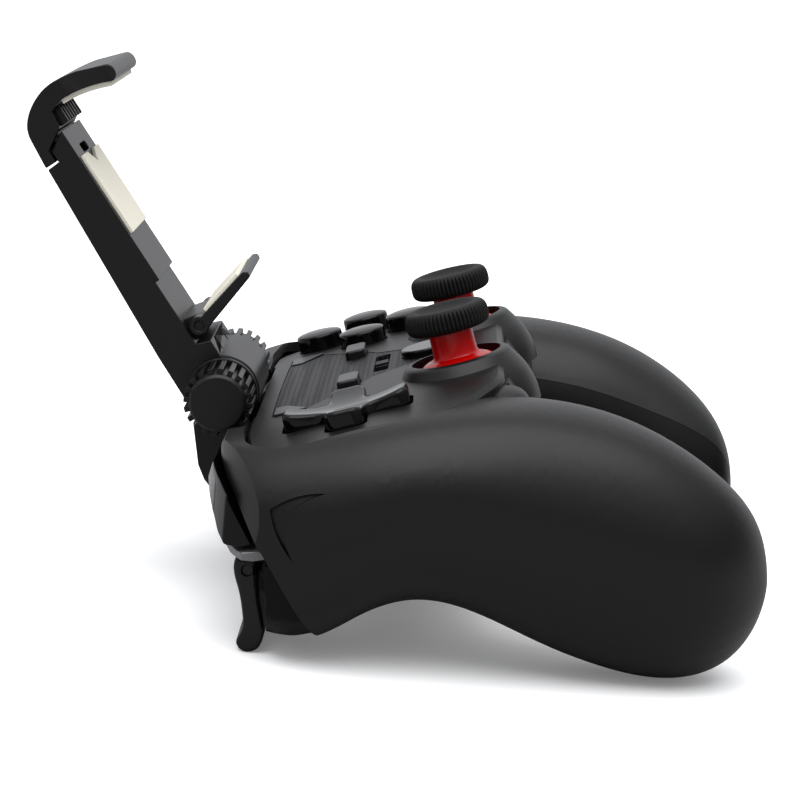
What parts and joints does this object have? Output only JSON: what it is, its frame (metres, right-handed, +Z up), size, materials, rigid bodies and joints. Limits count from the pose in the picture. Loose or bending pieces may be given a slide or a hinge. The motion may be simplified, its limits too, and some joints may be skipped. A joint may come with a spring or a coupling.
{
  "type": "gamepad",
  "caption": "Wireless gamepad with two thumbsticks, cross pad, round buttons, bumpers and triggers, and a folding sprung clamp that holds a phone above it.",
  "frame": {"origin": "on the surface it rests on, under the middle of the box round the whole part", "axes": "+X to the player's right, +Y away from the player, +Z up, as the gamepad rests on its handles and trigger tips"},
  "size_m": [0.155, 0.1648, 0.1135],
  "materials": {
    "shell_black": "soft-touch matte",
    "panel_weave": "fine weave",
    "gloss_black": "polished",
    "key_black": "satin",
    "bezel_grey": "satin",
    "clamp_black": "satin grained",
    "pad_cream": "soft",
    "cap_rubber": "matte",
    "stem_red": "polished",
    "steel": "plain",
    "inner_plastic": "plain",
    "membrane_rubber": "soft",
    "board_green": "varnished",
    "battery_silver": "foil"
  },
  "bodies": {
    "body": {"top_shell": "shell_black", "bottom_shell": "shell_black", "left_grip": "shell_black", "right_grip": "shell_black", "centre_panel": "panel_weave", "left_shoulder_bezel": "bezel_grey", "right_shoulder_bezel": "bezel_grey", "dpad_post": "inner_plastic", "dpad_membrane": "membrane_rubber", "button_membrane": "membrane_rubber", "left_stick_housing": "steel", "right_stick_housing": "steel", "left_trigger_shaft": "steel", "right_trigger_shaft": "steel", "holder_bracket": "clamp_black", "holder_axle": "steel", "main_pcb": "board_green", "charging_socket": "steel", "battery": "battery_silver", "left_rumble_motor": "steel", "right_rumble_motor": "steel", "shell_screws": "steel"},
    "dpad_ball": {"dpad_pivot": "steel"},
    "dpad": {"dpad": "gloss_black"},
    "button_north": {"button_north": "gloss_black"},
    "button_east": {"button_east": "gloss_black"},
    "button_south": {"button_south": "gloss_black"},
    "button_west": {"button_west": "gloss_black"},
    "home_key": {"home_button": "gloss_black"},
    "select_key": {"select_button": "key_black"},
    "start_key": {"start_button": "key_black"},
    "turbo_key": {"turbo_button": "key_black"},
    "clear_key": {"clear_button": "key_black"},
    "mode_slider": {"mode_switch_knob": "key_black"},
    "left_click": {"left_stick_carrier": "inner_plastic"},
    "left_ring": {"left_stick_ring": "inner_plastic"},
    "left_stick": {"left_stick_stem": "stem_red", "left_stick_cap": "cap_rubber"},
    "left_bumper": {"left_bumper": "gloss_black"},
    "left_trigger": {"left_trigger": "key_black"},
    "left_knob": {"left_holder_knob": "clamp_black"},
    "left_weight": {"left_rumble_weight": "steel"},
    "right_click": {"right_stick_carrier": "inner_plastic"},
    "right_ring": {"right_stick_ring": "inner_plastic"},
    "right_stick": {"right_stick_stem": "stem_red", "right_stick_cap": "cap_rubber"},
    "right_bumper": {"right_bumper": "gloss_black"},
    "right_trigger": {"right_trigger": "key_black"},
    "right_knob": {"right_holder_knob": "clamp_black"},
    "right_weight": {"right_rumble_weight": "steel"},
    "arm": {"holder_arm": "clamp_black", "arm_pad": "pad_cream", "jaw_pin": "steel"},
    "upper_jaw": {"upper_jaw": "clamp_black", "upper_jaw_pad": "pad_cream"},
    "lower_jaw": {"lower_jaw": "clamp_black", "lower_jaw_pad": "pad_cream"}
  },
  "joints": [
    {"name": "dpad_tilt_across", "type": "hinge", "parent": "body", "child": "dpad_ball", "pos_m": [-0.0487, 0.00544, 0.04403], "axis": [1, 0, 0], "range_deg": [-3.5, 3.5], "stiffness_Nm_per_rad": 0.12},
    {"name": "dpad_tilt_along", "type": "hinge", "parent": "dpad_ball", "child": "dpad", "pos_m": [-0.0487, 0.00544, 0.04403], "axis": [0, 0.9455, -0.3256], "range_deg": [-3.5, 3.5], "stiffness_Nm_per_rad": 0.12},
    {"name": "button_north_press", "type": "slide", "parent": "body", "child": "button_north", "axis": [0, -0.3256, -0.9455], "range_m": [0, 0.0018], "stiffness_N_per_m": 400, "springref_m": -0.0005},
    {"name": "button_east_press", "type": "slide", "parent": "body", "child": "button_east", "axis": [0, -0.3256, -0.9455], "range_m": [0, 0.0018], "stiffness_N_per_m": 400, "springref_m": -0.0005},
    {"name": "button_south_press", "type": "slide", "parent": "body", "child": "button_south", "axis": [0, -0.3256, -0.9455], "range_m": [0, 0.0018], "stiffness_N_per_m": 400, "springref_m": -0.0005},
    {"name": "button_west_press", "type": "slide", "parent": "body", "child": "button_west", "axis": [0, -0.3256, -0.9455], "range_m": [0, 0.0018], "stiffness_N_per_m": 400, "springref_m": -0.0005},
    {"name": "home_press", "type": "slide", "parent": "body", "child": "home_key", "axis": [0, -0.3256, -0.9455], "range_m": [0, 0.0006], "stiffness_N_per_m": 600, "springref_m": -0.0005},
    {"name": "select_press", "type": "slide", "parent": "body", "child": "select_key", "axis": [0, -0.3256, -0.9455], "range_m": [0, 0.0006], "stiffness_N_per_m": 600, "springref_m": -0.0005},
    {"name": "start_press", "type": "slide", "parent": "body", "child": "start_key", "axis": [0, -0.3256, -0.9455], "range_m": [0, 0.0006], "stiffness_N_per_m": 600, "springref_m": -0.0005},
    {"name": "turbo_press", "type": "slide", "parent": "body", "child": "turbo_key", "axis": [0, -0.3256, -0.9455], "range_m": [0, 0.0006], "stiffness_N_per_m": 600, "springref_m": -0.0005},
    {"name": "clear_press", "type": "slide", "parent": "body", "child": "clear_key", "axis": [0, -0.3256, -0.9455], "range_m": [0, 0.0006], "stiffness_N_per_m": 600, "springref_m": -0.0005},
    {"name": "mode_slide", "type": "slide", "parent": "body", "child": "mode_slider", "axis": [1, 0, 0], "range_m": [-0.006, 0.006]},
    {"name": "left_stick_click", "type": "slide", "parent": "body", "child": "left_click", "axis": [0, -0.3256, -0.9455], "range_m": [0, 0.0005], "stiffness_N_per_m": 2000, "springref_m": -0.0005},
    {"name": "left_stick_tilt_forward", "type": "hinge", "parent": "left_click", "child": "left_ring", "pos_m": [-0.0256, -0.01707, 0.05055], "axis": [1, 0, 0], "range_deg": [-18, 18], "stiffness_Nm_per_rad": 0.05},
    {"name": "left_stick_tilt_side", "type": "hinge", "parent": "left_ring", "child": "left_stick", "pos_m": [-0.0256, -0.01707, 0.05055], "axis": [0, 0.9455, -0.3256], "range_deg": [-18, 18], "stiffness_Nm_per_rad": 0.05},
    {"name": "left_bumper_press", "type": "slide", "parent": "body", "child": "left_bumper", "axis": [0, -1, 0], "range_m": [0, 0.0008], "stiffness_N_per_m": 1500, "springref_m": -0.0005},
    {"name": "left_trigger_pull", "type": "hinge", "parent": "body", "child": "left_trigger", "pos_m": [-0.05, 0.02415, 0.017], "axis": [1, 0, 0], "range_deg": [-10, 0], "stiffness_Nm_per_rad": 0.15, "springref_deg": 8.59},
    {"name": "left_knob_turn", "type": "hinge", "parent": "body", "child": "left_knob", "pos_m": [0, 0.03555, 0.0443], "axis": [1, 0, 0], "range_deg": [-180, 180]},
    {"name": "left_weight_spin", "type": "hinge", "parent": "body", "child": "left_weight", "pos_m": [-0.054, -0.05445, 0.026], "axis": [1, 0, 0], "continuous": true},
    {"name": "right_stick_click", "type": "slide", "parent": "body", "child": "right_click", "axis": [0, -0.3256, -0.9455], "range_m": [0, 0.0005], "stiffness_N_per_m": 2000, "springref_m": -0.0005},
    {"name": "right_stick_tilt_forward", "type": "hinge", "parent": "right_click", "child": "right_ring", "pos_m": [0.0256, -0.01707, 0.05055], "axis": [1, 0, 0], "range_deg": [-18, 18], "stiffness_Nm_per_rad": 0.05},
    {"name": "right_stick_tilt_side", "type": "hinge", "parent": "right_ring", "child": "right_stick", "pos_m": [0.0256, -0.01707, 0.05055], "axis": [0, 0.9455, -0.3256], "range_deg": [-18, 18], "stiffness_Nm_per_rad": 0.05},
    {"name": "right_bumper_press", "type": "slide", "parent": "body", "child": "right_bumper", "axis": [0, -1, 0], "range_m": [0, 0.0008], "stiffness_N_per_m": 1500, "springref_m": -0.0005},
    {"name": "right_trigger_pull", "type": "hinge", "parent": "body", "child": "right_trigger", "pos_m": [0.05, 0.02415, 0.017], "axis": [1, 0, 0], "range_deg": [-10, 0], "stiffness_Nm_per_rad": 0.15, "springref_deg": 8.59},
    {"name": "right_knob_turn", "type": "hinge", "parent": "body", "child": "right_knob", "pos_m": [0, 0.03555, 0.0443], "axis": [1, 0, 0], "range_deg": [-180, 180]},
    {"name": "right_weight_spin", "type": "hinge", "parent": "body", "child": "right_weight", "pos_m": [0.054, -0.05445, 0.026], "axis": [1, 0, 0], "continuous": true},
    {"name": "arm_fold", "type": "hinge", "parent": "body", "child": "arm", "pos_m": [0, 0.03555, 0.0443], "axis": [1, 0, 0], "range_deg": [-25, 60]},
    {"name": "upper_jaw_slide", "type": "slide", "parent": "arm", "child": "upper_jaw", "axis": [0, 0.6129, 0.7902], "range_m": [0, 0.028], "stiffness_N_per_m": 150, "springref_m": -0.01},
    {"name": "lower_jaw_fold", "type": "hinge", "parent": "arm", "child": "lower_jaw", "pos_m": [0, 0.04176, 0.05834], "axis": [1, 0, 0], "range_deg": [-70, 0]}
  ]
}
